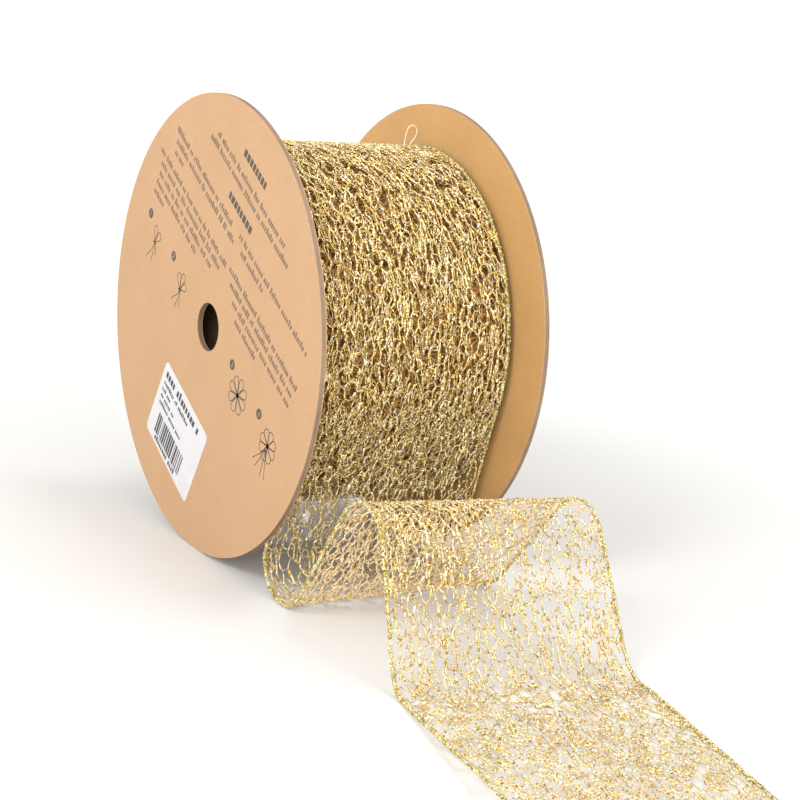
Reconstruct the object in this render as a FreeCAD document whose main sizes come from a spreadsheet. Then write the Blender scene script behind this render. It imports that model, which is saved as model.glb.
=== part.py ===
import FreeCAD, Part
import math
import os
import Sketcher

# Ribbon spool: two board flanges on a paper core, wound with wire-edged mesh
# ribbon whose free end is paid out in a wave onto the surface that it stands on.
#
# Frame: the origin is on the spindle axis, midway between the flanges. +Y runs
# along the axis from the printed front flange to the plain rear one, +Z is up,
# and the free end of the ribbon is paid out towards +X.

DRIVING_SIZES = {
    # flanges
    "flange_diameter": 150.0,
    "spindle_hole": 15.8,
    "board_thick": 1.4,
    "liner_thick": 0.2,
    "winding_gap": 78.2,
    # core and what is glued to it
    "core_diameter": 76.0,
    "core_wall": 2.0,
    "glue_bead": 2.0,
    "start_tape_thick": 0.2,
    "start_tape_width": 50.0,
    "start_tape_turn": 40.0,
    # ribbon
    "ribbon_width": 75.4,
    "web_thick": 0.5,
    "binding_diameter": 1.2,
    "edge_wire": 0.4,
    "wound_radius": 58.3,
    # label on the front flange
    "label_length": 39.0,
    "label_height": 30.0,
    "label_thick": 0.15,
    "label_corner": 2.0,
    "label_across": -18.6,
    "label_up": -40.0,
    "label_tilt": 27.5,
    # clear tape stuck behind the ribbon where it leaves the roll
    "clear_tape_length": 36.0,
    "clear_tape_height": 17.0,
    "clear_tape_thick": 0.15,
    "clear_tape_start": 66.0,
    # route of the paid-out ribbon's middle line, in its own upright plane
    "tail_lap_radius": 59.3,
    "tail_lap_start": 20.0,
    "tail_leave": 15.0,
    "trough_foot": 64.7,
    "crest_reach": 106.9,
    "crest_corner": -18.9,
    "fall_foot": 135.2,
    "tail_reach": 252.0,
    "bend_drop": 12.0,
    "bend_rise": 11.0,
    "bend_crest": 13.5,
    "bend_foot": 12.0,
    # how the paid-out ribbon turns sideways and leans
    "tail_offset": -0.9,
    "tail_heading": 12.5,
    "heading_from": 56.2,
    "heading_to": 251.2,
    "crest_lean": 2.5,
    "crest_lean_middle": 164.2,
    "crest_lean_spread": 55.0,
    "end_lean": 4.5,
    "end_lean_from": 231.0,
    "end_lean_to": 312.0,
    # crease where the free end lifts
    "crease_distance": 235.5,
    "crease_gap": 1.2,
}

ROUTE_STEP = 0.5          # step of the route's sums, mm
STATION_EVERY = 4.0       # spacing of the ribbon's cross sections, mm
OCTAGON_SIDES = 8

doc = FreeCAD.newDocument("ribbon_spool")
sheet = doc.addObject("Spreadsheet::Sheet", "sizes")


def fill_sheet():
    for row, (name, value) in enumerate(DRIVING_SIZES.items(), start=1):
        sheet.set("A%d" % row, name)
        sheet.set("B%d" % row, str(value))
        sheet.setAlias("B%d" % row, name)
    doc.recompute()


def size(name):
    return float(sheet.get(name))


# ---------------------------------------------------------------- helpers

def origin_plane(body, role):
    for feature in body.Origin.OriginFeatures:
        if feature.Role == role:
            return feature
    raise RuntimeError("no plane " + role)


def new_body(label):
    body = doc.addObject("PartDesign::Body", label)
    body.Label = label
    return body


def new_sketch(body, plane):
    sketch = body.newObject("Sketcher::SketchObject", body.Name + "_sketch")
    sketch.AttachmentSupport = [(origin_plane(body, plane), "")]
    sketch.MapMode = "FlatFace"
    return sketch


def add_circle(sketch, radius_rule):
    """A circle about the sketch's origin whose radius follows the sheet."""
    line = sketch.addGeometry(
        Part.Circle(FreeCAD.Vector(), FreeCAD.Vector(0, 0, 1), 10.0 + 10.0 * sketch.GeometryCount))
    sketch.addConstraint(Sketcher.Constraint("Coincident", line, 3, -1, 1))
    rule = sketch.addConstraint(Sketcher.Constraint("Radius", line, 10.0 + 10.0 * line))
    sketch.setExpression("Constraints[%d]" % rule, radius_rule)


def ring(label, outer_rule, inner_rule, length_rule, middle_rule):
    """A flat or long ring about the spindle axis, centred at middle_rule on Y."""
    body = new_body(label)
    sketch = new_sketch(body, "XZ_Plane")
    add_circle(sketch, inner_rule)
    add_circle(sketch, outer_rule)
    pad = body.newObject("PartDesign::Pad", label + "_pad")
    pad.Profile = sketch
    pad.SideType = "Symmetric"
    pad.setExpression("Length", length_rule)
    body.setExpression("Placement.Base.y", middle_rule)
    return body


# ---------------------------------------------------------------- flanges

def flange(side, sign):
    """Greyboard disc with a kraft liner on each face; sign is -1 for the front."""
    outer = "sizes.flange_diameter / 2"
    inner = "sizes.spindle_hole / 2"
    face = "sizes.winding_gap / 2"
    sign_text = "-1 * " if sign < 0 else ""
    board_middle = "(%s + sizes.liner_thick + sizes.board_thick / 2)" % face
    inner_middle = "(%s + sizes.liner_thick / 2)" % face
    outer_middle = "(%s + sizes.liner_thick * 3 / 2 + sizes.board_thick)" % face
    return [
        ring(side + "_flange_board", outer, inner, "sizes.board_thick", sign_text + board_middle),
        ring(side + "_inner_liner", outer, inner, "sizes.liner_thick", sign_text + inner_middle),
        ring(side + "_outer_liner", outer, inner, "sizes.liner_thick", sign_text + outer_middle),
    ]


# ---------------------------------------------------------------- core

def core_tube():
    return ring("core_tube", "sizes.core_diameter / 2", "sizes.core_diameter / 2 - sizes.core_wall",
                "sizes.winding_gap", "0 mm")


def glue_bead(side, sign):
    """Hot-melt fillet between the inside of the core and a flange."""
    body = new_body(side + "_glue_bead")
    sketch = new_sketch(body, "XY_Plane")
    reach = size("core_diameter") / 2 - size("core_wall")
    face = size("winding_gap") / 2
    bead = size("glue_bead")
    corners = [FreeCAD.Vector(reach, sign * face, 0),
               FreeCAD.Vector(reach - bead, sign * face, 0),
               FreeCAD.Vector(reach, sign * (face - bead), 0)]
    for index in range(3):
        sketch.addGeometry(Part.LineSegment(corners[index], corners[(index + 1) % 3]))
    for index in range(3):
        sketch.addConstraint(Sketcher.Constraint("Coincident", index, 2, (index + 1) % 3, 1))
    sketch.addConstraint(Sketcher.Constraint("Horizontal", 0))
    sketch.addConstraint(Sketcher.Constraint("Vertical", 2))
    rules = [("DistanceX", (-1, 1, 0, 1), reach, "sizes.core_diameter / 2 - sizes.core_wall"),
             ("DistanceX", (0, 2, 0, 1), bead, "sizes.glue_bead")]
    if sign > 0:
        rules.append(("DistanceY", (-1, 1, 0, 1), face, "sizes.winding_gap / 2"))
        rules.append(("DistanceY", (2, 1, 2, 2), bead, "sizes.glue_bead"))
    else:
        rules.append(("DistanceY", (0, 1, -1, 1), face, "sizes.winding_gap / 2"))
        rules.append(("DistanceY", (2, 2, 2, 1), bead, "sizes.glue_bead"))
    for kind, places, value, rule in rules:
        index = sketch.addConstraint(Sketcher.Constraint(kind, *places, value))
        sketch.setExpression("Constraints[%d]" % index, rule)
    turn = body.newObject("PartDesign::Revolution", side + "_glue_turn")
    turn.Profile = sketch
    turn.ReferenceAxis = (sketch, ["V_Axis"])
    turn.Angle = 360.0
    return body


def start_tape():
    """Paper tape that holds the ribbon's first turn on the core."""
    outer = doc.addObject("Part::Cylinder", "start_tape_outer")
    inner = doc.addObject("Part::Cylinder", "start_tape_inner")
    for piece, radius_rule in ((outer, "sizes.core_diameter / 2 + sizes.start_tape_thick"),
                               (inner, "sizes.core_diameter / 2")):
        piece.setExpression("Radius", radius_rule)
        piece.setExpression("Height", "sizes.start_tape_width")
        piece.setExpression("Angle", "sizes.start_tape_turn")
        piece.Placement.Rotation = FreeCAD.Rotation(FreeCAD.Vector(1, 0, 0), -90)
        piece.setExpression("Placement.Base.y", "-1 * sizes.start_tape_width / 2")
    tape = doc.addObject("Part::Cut", "start_tape")
    tape.Base = outer
    tape.Tool = inner
    tape.Label = "start_tape"
    return tape


# ---------------------------------------------------------------- wound ribbon

def wound_web(tape):
    """The pack of wound turns between the two edge bindings."""
    pack = ring("wound_pack", "sizes.wound_radius", "sizes.core_diameter / 2",
                "sizes.ribbon_width - 2 * sizes.binding_diameter", "0 mm")
    web = doc.addObject("Part::Cut", "wound_web")
    web.Base = pack
    web.Tool = tape
    web.Label = "wound_web"
    return web


def wound_binding(side, sign):
    sign_text = "-1 * " if sign < 0 else ""
    return ring("wound_%s_binding" % side, "sizes.wound_radius", "sizes.core_diameter / 2",
                "sizes.binding_diameter",
                sign_text + "(sizes.ribbon_width - sizes.binding_diameter) / 2")


# ---------------------------------------------------------------- label

def label_sticker():
    """Rounded paper label on the printed face, tilted with the printing."""
    body = new_body("label_sticker")
    sketch = new_sketch(body, "XZ_Plane")
    half_length = size("label_length") / 2
    half_height = size("label_height") / 2
    corner = size("label_corner")
    add_rounded_rectangle(sketch, half_length, half_height, corner)
    pad = body.newObject("PartDesign::Pad", "label_pad")
    pad.Profile = sketch
    pad.SideType = "Symmetric"
    pad.setExpression("Length", "sizes.label_thick")
    body.Placement.Rotation = FreeCAD.Rotation(FreeCAD.Vector(0, 1, 0), size("label_tilt"))
    body.setExpression("Placement.Base.x", "sizes.label_across")
    body.setExpression("Placement.Base.z", "sizes.label_up")
    body.setExpression(
        "Placement.Base.y",
        "-1 * (sizes.winding_gap / 2 + 2 * sizes.liner_thick + sizes.board_thick + sizes.label_thick / 2)")
    return body


def add_rounded_rectangle(sketch, half_length, half_height, corner):
    """Four sides and four quarter arcs, in order round the outline."""
    quarter = math.pi / 2
    inner_x = half_length - corner
    inner_y = half_height - corner
    turns = [(1, -1, 3), (1, 1, 0), (-1, 1, 1), (-1, -1, 2)]
    ends = []
    for side_x, side_y, first in turns:
        middle = FreeCAD.Vector(side_x * inner_x, side_y * inner_y, 0)
        circle = Part.Circle(middle, FreeCAD.Vector(0, 0, 1), corner)
        arc = Part.ArcOfCircle(circle, first * quarter, (first + 1) * quarter)
        sketch.addGeometry(arc)
        ends.append((arc.StartPoint, arc.EndPoint))
    for index in range(4):
        sketch.addGeometry(Part.LineSegment(ends[index][1], ends[(index + 1) % 4][0]))
    for index in range(4):
        sketch.addConstraint(Sketcher.Constraint("Tangent", index, 2, 4 + index, 1))
        sketch.addConstraint(Sketcher.Constraint("Tangent", 4 + index, 2, (index + 1) % 4, 1))
    for index in range(1, 4):
        sketch.addConstraint(Sketcher.Constraint("Equal", 0, index))
    sketch.addConstraint(Sketcher.Constraint("Vertical", 4))
    sketch.addConstraint(Sketcher.Constraint("Horizontal", 5))
    radius = sketch.addConstraint(Sketcher.Constraint("Radius", 0, corner))
    sketch.setExpression("Constraints[%d]" % radius, "sizes.label_corner")
    length = sketch.addConstraint(Sketcher.Constraint("DistanceX", 2, 3, 1, 3, 2 * inner_x))
    sketch.setExpression("Constraints[%d]" % length, "sizes.label_length - 2 * sizes.label_corner")
    height = sketch.addConstraint(Sketcher.Constraint("DistanceY", 0, 3, 1, 3, 2 * inner_y))
    sketch.setExpression("Constraints[%d]" % height, "sizes.label_height - 2 * sizes.label_corner")
    sketch.addConstraint(Sketcher.Constraint("Symmetric", 0, 3, 2, 3, -1, 1))


# ---------------------------------------------------------------- paid-out ribbon

def route_pieces():
    """The route's lap on the roll, then straight runs joined by tangent arcs.

    Each piece is (start u, start z, direction, length, curvature) in the upright
    plane, where u runs along the floor and curvature is positive to the left.
    """
    radius = size("tail_lap_radius")
    lap_start = math.radians(size("tail_lap_start"))
    leave = math.radians(size("tail_leave"))
    floor = -size("flange_diameter") / 2 + size("binding_diameter") / 2
    lap = (radius * math.cos(lap_start), radius * math.sin(lap_start),
           lap_start - math.pi / 2, radius * (lap_start + leave), -1 / radius)
    left = (radius * math.cos(leave), -radius * math.sin(leave))
    corners = [left,
               (left[0] - math.tan(leave) * (left[1] - floor), floor),
               (size("trough_foot"), floor),
               (size("crest_reach"), size("crest_corner")),
               (size("fall_foot"), floor),
               (size("tail_reach"), floor)]
    bends = [size("bend_drop"), size("bend_rise"), size("bend_crest"), size("bend_foot")]
    pieces = [lap]
    here = corners[0]
    for index, bend in enumerate(bends, start=1):
        before = direction(corners[index - 1], corners[index])
        after = direction(corners[index], corners[index + 1])
        turn = math.remainder(after - before, 2 * math.pi)
        setback = bend * math.tan(abs(turn) / 2)
        arc_start = step_from(corners[index], before, -setback)
        pieces.append((here[0], here[1], before, math.dist(here, arc_start), 0.0))
        pieces.append((arc_start[0], arc_start[1], before, bend * abs(turn),
                       math.copysign(1 / bend, turn)))
        here = step_from(corners[index], after, setback)
    pieces.append((here[0], here[1], after, math.dist(here, corners[-1]), 0.0))
    return pieces


def direction(first, second):
    return math.atan2(second[1] - first[1], second[0] - first[0])


def step_from(point, angle, distance):
    return (point[0] + distance * math.cos(angle), point[1] + distance * math.sin(angle))


def on_route(pieces, distance):
    """Place and direction on the route in its upright plane."""
    for u, z, angle, length, curvature in pieces:
        if distance <= length:
            break
        distance -= length
    if curvature == 0.0:
        u, z = step_from((u, z), angle, distance)
        return u, z, angle
    turned = angle + curvature * distance
    u += (math.sin(turned) - math.sin(angle)) / curvature
    z -= (math.cos(turned) - math.cos(angle)) / curvature
    return u, z, turned


def smooth(value, low, high):
    share = min(max((value - low) / (high - low), 0.0), 1.0)
    return share * share * (3 - 2 * share)


def heading(distance):
    """Angle by which the ribbon has turned towards -Y at a distance along it."""
    share = (distance - size("heading_from")) / (size("heading_to") - size("heading_from"))
    return math.radians(size("tail_heading")) * min(max(share, 0.0), 1.0) ** 3


def end_lean(distance):
    lean = math.radians(size("end_lean"))
    return lean * smooth(distance, size("end_lean_from"), size("end_lean_to"))


def crest_lean(distance):
    share = (distance - size("crest_lean_middle")) / size("crest_lean_spread")
    return math.radians(size("crest_lean")) * max(0.0, 1 - share * share) ** 2


def ribbon_stations():
    """Frames along the paid-out ribbon: (distance, middle, across, upward)."""
    pieces = route_pieces()
    total = sum(piece[3] for piece in pieces)
    u_before = on_route(pieces, 0.0)[0]
    x = u_before
    y = size("tail_offset")
    stations = []
    for index in range(int(total / ROUTE_STEP) + 1):
        distance = index * ROUTE_STEP
        u, z, angle = on_route(pieces, distance)
        turn = heading(distance)
        x += (u - u_before) * math.cos(turn)
        y -= (u - u_before) * math.sin(turn)
        u_before = u
        lean = crest_lean(distance) + end_lean(distance)
        lift = size("ribbon_width") / 2 * math.sin(end_lean(distance))
        along = FreeCAD.Vector(math.cos(angle) * math.cos(turn),
                               -math.cos(angle) * math.sin(turn), math.sin(angle))
        level = FreeCAD.Vector(math.sin(turn), math.cos(turn), 0)
        up = along.cross(level)
        across = level * math.cos(lean) - up * math.sin(lean)
        upward = along.cross(across)
        stations.append((distance, FreeCAD.Vector(x, y, z + lift), across, upward))
    return stations


def chosen_stations(stations, first, last):
    """Stations from first to last, about STATION_EVERY apart."""
    count = max(2, round((last - first) / STATION_EVERY) + 1)
    chosen = []
    for index in range(count):
        distance = first + (last - first) * index / (count - 1)
        chosen.append(stations[min(round(distance / ROUTE_STEP), len(stations) - 1)])
    return chosen


def swept(stations, outline):
    """A solid through one closed outline of (across, up) points at each station."""
    wires = []
    for _, middle, across, upward in stations:
        points = [middle + across * side + upward * rise for side, rise in outline]
        wires.append(Part.makePolygon(points + points[:1]))
    return Part.makeLoft(wires, True, True)


def strip_outline(low, high, bottom, top):
    return [(low, bottom), (high, bottom), (high, top), (low, top)]


def octagon(middle, width):
    reach = width / 2 / math.cos(math.pi / OCTAGON_SIDES)
    points = []
    for index in range(OCTAGON_SIDES):
        angle = (index + 0.5) * 2 * math.pi / OCTAGON_SIDES
        points.append((middle + reach * math.cos(angle), reach * math.sin(angle)))
    return points


def feature(label, shape):
    piece = doc.addObject("Part::Feature", label)
    piece.Label = label
    piece.Shape = shape
    piece.Placement = FreeCAD.Placement()
    return piece


def ribbon_length(stations, prefix, first, last):
    """Web, two edge bindings and their wires between two distances."""
    part = chosen_stations(stations, first, last)
    width = size("ribbon_width")
    binding = size("binding_diameter")
    wire = size("edge_wire")
    thick = size("web_thick")
    web_half = width / 2 - binding
    made = [feature(prefix + "_web",
                    swept(part, strip_outline(-web_half, web_half, -thick / 2, thick / 2)))]
    for side, sign in (("front", -1), ("rear", 1)):
        middle = sign * (width - binding) / 2
        wire_shape = swept(part, octagon(middle, wire))
        binding_shape = swept(part, octagon(middle, binding)).cut(wire_shape)
        made.append(feature("%s_%s_binding" % (prefix, side), binding_shape))
        made.append(feature("%s_%s_wire" % (prefix, side), wire_shape))
    return made


def clear_tape(stations):
    """Clear tape on the side of the ribbon that faces the roll."""
    first = size("clear_tape_start")
    part = chosen_stations(stations, first, first + size("clear_tape_height"))
    side = -size("ribbon_width") / 2 + size("binding_diameter")
    face = -size("web_thick") / 2
    outline = strip_outline(side, side + size("clear_tape_length"),
                            face - size("clear_tape_thick"), face)
    return feature("clear_tape", swept(part, outline))


# ---------------------------------------------------------------- assembly

def build():
    fill_sheet()
    pieces = flange("front", -1) + flange("rear", 1)
    pieces.append(core_tube())
    pieces.append(glue_bead("front", -1))
    pieces.append(glue_bead("rear", 1))
    tape = start_tape()
    pieces.append(tape)
    pieces.append(wound_web(tape))
    pieces.append(wound_binding("front", -1))
    pieces.append(wound_binding("rear", 1))
    pieces.append(label_sticker())
    stations = ribbon_stations()
    crease = size("crease_distance")
    half_gap = size("crease_gap") / 2
    pieces += ribbon_length(stations, "tail", 0.0, crease - half_gap)
    pieces += ribbon_length(stations, "end", crease + half_gap, stations[-1][0])
    pieces.append(clear_tape(stations))
    doc.recompute()
    report_crease(stations, crease)
    return pieces


def report_crease(stations, distance):
    _, middle, across, _ = stations[round(distance / ROUTE_STEP)]
    print("crease middle", [round(value, 3) for value in middle],
          "across", [round(value, 4) for value in across])
    print("paid-out length", stations[-1][0])


def check(pieces):
    for item in doc.Objects:
        if "Invalid" in item.State or "Error" in item.State:
            raise RuntimeError("failed object " + item.Name)
    for piece in pieces:
        if piece.Shape.isNull() or not piece.Shape.isValid() or not piece.Shape.Solids:
            raise RuntimeError("bad shape " + piece.Label)


def write(pieces):
    os.makedirs("parts", exist_ok=True)
    for piece in pieces:
        piece.Shape.exportStep("parts/%s.step" % piece.Label)
        box = piece.Shape.BoundBox
        print("%-22s volume %10.1f  x %7.2f %7.2f  y %7.2f %7.2f  z %7.2f %7.2f" % (
            piece.Label, piece.Shape.Volume, box.XMin, box.XMax, box.YMin, box.YMax,
            box.ZMin, box.ZMax))


made = build()
check(made)
write(made)
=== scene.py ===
import math
from math import cos, pi, radians, sin, tan

import bpy
import numpy as np
from mathutils import Matrix, Vector, geometry


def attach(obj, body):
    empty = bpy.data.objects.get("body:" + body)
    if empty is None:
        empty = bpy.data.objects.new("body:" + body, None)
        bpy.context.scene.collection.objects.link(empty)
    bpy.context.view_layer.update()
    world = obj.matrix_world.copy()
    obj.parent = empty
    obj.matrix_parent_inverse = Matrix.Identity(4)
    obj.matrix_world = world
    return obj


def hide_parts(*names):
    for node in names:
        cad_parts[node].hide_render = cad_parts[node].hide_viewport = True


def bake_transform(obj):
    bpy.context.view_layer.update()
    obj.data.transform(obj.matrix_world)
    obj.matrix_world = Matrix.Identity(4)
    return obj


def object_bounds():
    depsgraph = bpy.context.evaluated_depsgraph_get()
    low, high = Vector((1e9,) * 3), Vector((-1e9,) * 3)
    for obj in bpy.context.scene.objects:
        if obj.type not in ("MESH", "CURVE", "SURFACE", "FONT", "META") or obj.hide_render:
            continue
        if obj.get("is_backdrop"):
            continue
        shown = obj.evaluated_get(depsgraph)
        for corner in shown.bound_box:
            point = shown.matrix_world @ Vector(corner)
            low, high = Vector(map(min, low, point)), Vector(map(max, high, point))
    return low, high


# Looks of a ribbon spool wound with gold glitter mesh ribbon. Lengths are in
# millimetres until a mesh is made. The frame is the CAD model's: the spindle
# along Y, the printed flange towards -Y, the ribbon paid out towards +X.

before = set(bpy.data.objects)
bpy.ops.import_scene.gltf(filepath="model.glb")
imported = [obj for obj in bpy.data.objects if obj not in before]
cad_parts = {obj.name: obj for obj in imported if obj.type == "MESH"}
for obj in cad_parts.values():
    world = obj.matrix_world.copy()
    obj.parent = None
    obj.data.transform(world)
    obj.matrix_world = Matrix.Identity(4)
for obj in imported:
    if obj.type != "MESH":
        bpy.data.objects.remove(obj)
cad_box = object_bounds()

MM = 0.001
TURN = 2 * pi

# spool
FLANGE_RADIUS = 75.0
FACE_Y = 40.9
CORE_RADIUS = 38.0
FLOOR_Z = -FLANGE_RADIUS

# ribbon
RIBBON_WIDTH = 75.4
CORD_DIAMETER = 1.2
CORD_AT = (RIBBON_WIDTH - CORD_DIAMETER) / 2
NET_HALF = CORD_AT - 0.3
TURN_PITCH = 0.7  # how much each wound turn adds to the radius
LOOSE_TURNS = 3  # wound turns made as real net, over a solid pack
TOP_SPRING = 1.5  # how far the loose turns stand up over the top
SPRING_PACE = 1.2  # the rise is over in half a turn divided by this

# route of the paid-out ribbon, as in the CAD model
LAP_RADIUS = 59.3
LAP_START = radians(20.0)
LEAVE = radians(15.0)
FLOOR_LINE = FLOOR_Z + CORD_DIAMETER / 2
TROUGH_FOOT = 64.7
CREST = (106.9, -18.9)
FALL_FOOT = 135.2
TAIL_REACH = 252.0
BENDS = (12.0, 11.0, 13.5, 12.0)
TAIL_OFFSET = -0.9
OFFSET_RUN = 150.0  # length over which the wound ribbon drifts to that offset
HEADING = radians(12.5)
HEADING_FROM, HEADING_TO = 56.2, 251.2
CREST_LEAN = radians(2.5)
CREST_LEAN_MIDDLE, CREST_LEAN_SPREAD = 164.2, 55.0
END_LEAN = radians(4.5)
END_LEAN_FROM, END_LEAN_TO = 231.0, 312.0
CREASE = 235.5
ROUTE_STEP = 0.25
TURN_LENGTH = TURN * LAP_RADIUS
LAP_LENGTH = LAP_RADIUS * (LAP_START + LEAVE)


# ---------- camera and stage

def add_camera():
    place = Vector((505.05, -289.33, 113.33)) * MM
    yaw, pitch, roll = radians(147.2545), radians(-13.2306), 0.095
    forward = Vector((cos(pitch) * cos(yaw), cos(pitch) * sin(yaw), sin(pitch)))
    level = Vector((sin(yaw), -cos(yaw), 0))
    upright = level.cross(forward)
    right = level * cos(roll) + upright * sin(roll)
    up = upright * cos(roll) - level * sin(roll)
    data = bpy.data.cameras.new("camera")
    data.sensor_width = 36.0
    data.lens = 79.16
    data.clip_start = 0.01
    camera = link_piece("camera", data)
    turn = Matrix((right, up, -forward)).transposed()
    camera.matrix_world = Matrix.Translation(place) @ turn.to_4x4()
    bpy.context.scene.camera = camera


def add_area_light(name, place, aim, width, power, colour=(1, 1, 1)):
    data = bpy.data.lights.new(name, "AREA")
    data.shape = "DISK"
    data.size = width
    data.energy = power
    data.color = colour
    light = link_piece(name, data)
    light.location = place
    light.rotation_euler = (Vector(aim) - Vector(place)).to_track_quat("-Z", "Y").to_euler()


def add_lights():
    aim = (0.05, 0, 0)
    daylight, warm = (1.0, 0.985, 0.955), (1.0, 0.975, 0.93)
    add_area_light("key", (0.35, -0.95, 0.9), aim, 0.42, 7.5, daylight)
    add_area_light("top", (0.25, 0.35, 1.3), aim, 0.55, 5.0)
    add_area_light("side", (1.3, 0.25, 0.55), aim, 0.42, 5.0, daylight)
    add_area_light("camera_fill", (1.05, -0.8, 0.38), aim, 0.42, 7.5, warm)
    add_area_light("left_fill", (-0.35, -1.2, 0.35), aim, 0.8, 4.0, warm)
    world = bpy.data.worlds.new("studio")
    world.use_nodes = True
    background = world.node_tree.nodes["Background"]
    background.inputs["Color"].default_value = (1.0, 0.967, 0.925, 1)
    background.inputs["Strength"].default_value = 1.0
    bpy.context.scene.world = world
    view = bpy.context.scene.view_settings
    view.view_transform = "Standard"
    view.look = "None"


def add_backdrop():
    """A pale floor that sweeps up all round, far outside the view."""
    flat, bend, wall, steps = 2.2, 1.2, 2.6, 16
    profile = [(0.0, 0.0), (0.4, 0.0), (flat, 0.0)]
    for step in range(1, steps + 1):
        angle = pi / 2 * step / steps
        profile.append((flat + bend * sin(angle), bend * (1 - cos(angle))))
    profile.append((flat + bend, wall))
    around = 96
    floor_z = (FLOOR_Z - 0.05) * MM
    points, faces = [], []
    for reach, rise in profile:
        for step in range(around):
            angle = step * TURN / around
            points.append((reach * cos(angle), reach * sin(angle), floor_z + rise))
    for row in range(len(profile) - 1):
        for step in range(around):
            after = (step + 1) % around
            faces.append((row * around + step, row * around + after,
                          (row + 1) * around + after, (row + 1) * around + step))
    solid_piece("backdrop", points, faces, floor_material())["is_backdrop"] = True


def link_piece(name, mesh):
    piece = bpy.data.objects.new(name, mesh)
    bpy.context.scene.collection.objects.link(piece)
    return piece


def solid_piece(name, points, faces, material, smooth=True):
    """A piece of one material, from corner points in metres."""
    mesh = bpy.data.meshes.new(name)
    mesh.from_pydata(points, [], faces)
    for polygon in mesh.polygons:
        polygon.use_smooth = smooth
    mesh.materials.append(material)
    return link_piece(name, mesh)


# ---------- material helpers

def new_material(name):
    """A material with its Principled shader, and short ways to add and join nodes."""
    material = bpy.data.materials.new(name)
    material.use_nodes = True
    tree = material.node_tree
    return material, tree, tree.nodes["Principled BSDF"]


def add_node(tree, kind, **settings):
    node = tree.nodes.new(kind)
    for key, value in settings.items():
        setattr(node, key, value)
    return node


def join(tree, source, target):
    tree.links.new(source, target)


def dress(tree, node, inputs):
    """Gives each named input a plain value, or joins another node's output to it."""
    for name, value in inputs.items():
        if isinstance(value, bpy.types.NodeSocket):
            join(tree, value, node.inputs[name])
        else:
            node.inputs[name].default_value = value


def place_of(tree):
    return add_node(tree, "ShaderNodeTexCoord").outputs["Object"]


def noise(tree, scale, detail=3.0, roughness=0.5, place=None):
    node = add_node(tree, "ShaderNodeTexNoise")
    dress(tree, node, {"Scale": scale, "Detail": detail, "Roughness": roughness,
                       "Vector": place or place_of(tree)})
    return node.outputs["Fac"]


def stretched(tree, x, y, z):
    """Object coordinates multiplied along each axis."""
    node = add_node(tree, "ShaderNodeMapping")
    dress(tree, node, {"Scale": (x, y, z), "Vector": place_of(tree)})
    return node.outputs["Vector"]


def ramp(tree, source, stops, kind="LINEAR"):
    """A colour ramp over source; stops are (position, (r, g, b))."""
    node = add_node(tree, "ShaderNodeValToRGB")
    node.color_ramp.interpolation = kind
    elements = node.color_ramp.elements
    elements.remove(elements[1])
    elements[0].position = stops[0][0]
    elements[0].color = (*stops[0][1], 1)
    for position, colour in stops[1:]:
        elements.new(position).color = (*colour, 1)
    join(tree, source, node.inputs["Fac"])
    return node.outputs["Color"]


def to_range(tree, source, low, high, from_low=0.0, from_high=1.0):
    node = add_node(tree, "ShaderNodeMapRange")
    dress(tree, node, {"Value": source, "From Min": from_low, "From Max": from_high,
                       "To Min": low, "To Max": high})
    return node.outputs["Result"]


def multiplied(tree, share, first, second):
    """The first colour multiplied by the second, by a share."""
    node = add_node(tree, "ShaderNodeMix", data_type="RGBA", blend_type="MULTIPLY")
    node.inputs[0].default_value = share
    join(tree, first, node.inputs[6])
    join(tree, second, node.inputs[7])
    return node.outputs[2]


def bump(tree, source, strength, depth):
    node = add_node(tree, "ShaderNodeBump")
    dress(tree, node, {"Strength": strength, "Distance": depth, "Height": source})
    return node.outputs["Normal"]


def cells_of(tree, scale, feature):
    """Irregular cells, such as one for each foil flake."""
    node = add_node(tree, "ShaderNodeTexVoronoi", feature=feature)
    dress(tree, node, {"Scale": scale, "Vector": place_of(tree)})
    return node


def vector_math(tree, operation, first, second=None):
    node = add_node(tree, "ShaderNodeVectorMath", operation=operation)
    join(tree, first, node.inputs[0])
    if second:
        join(tree, second, node.inputs[1])
    return node


# ---------- materials

FAR_GLOW = 0.42  # how much the far floor is brightened, to read as white
GLOW_FROM, GLOW_TO = 0.12, 0.7
KRAFT_PRINTED = ((0.435, 0.268, 0.148), (0.413, 0.253, 0.137))


def floor_material():
    material, tree, shader = new_material("studio_floor")
    cloud = noise(tree, 3.0, 2.0)
    reach = vector_math(tree, "LENGTH", place_of(tree)).outputs["Value"]
    dress(tree, shader, {
        "Base Color": ramp(tree, cloud, [(0.3, (0.585, 0.583, 0.58)), (0.7, (0.605, 0.603, 0.60))]),
        "Roughness": 0.7,
        "Specular IOR Level": 0.2,
        "Emission Color": (0.95, 1.0, 1.04, 1),
        "Emission Strength": to_range(tree, reach, 0.0, FAR_GLOW, GLOW_FROM, GLOW_TO)})
    return material


def mottled(name, grain, dark, light, shine, relief=None, span=(0.3, 0.7), stretch=None, inputs=()):
    """A material whose colour, shine and relief all follow one noise."""
    material, tree, shader = new_material(name)
    pattern = noise(tree, *grain, place=stretched(tree, *stretch) if stretch else None)
    dress(tree, shader, dict(inputs))
    dress(tree, shader, {"Base Color": ramp(tree, pattern, [(span[0], dark), (span[1], light)])})
    if shine:
        dress(tree, shader, {"Roughness": to_range(tree, pattern, *shine)})
    if relief:
        dress(tree, shader, {"Normal": bump(tree, pattern, *relief)})
    return material


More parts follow.
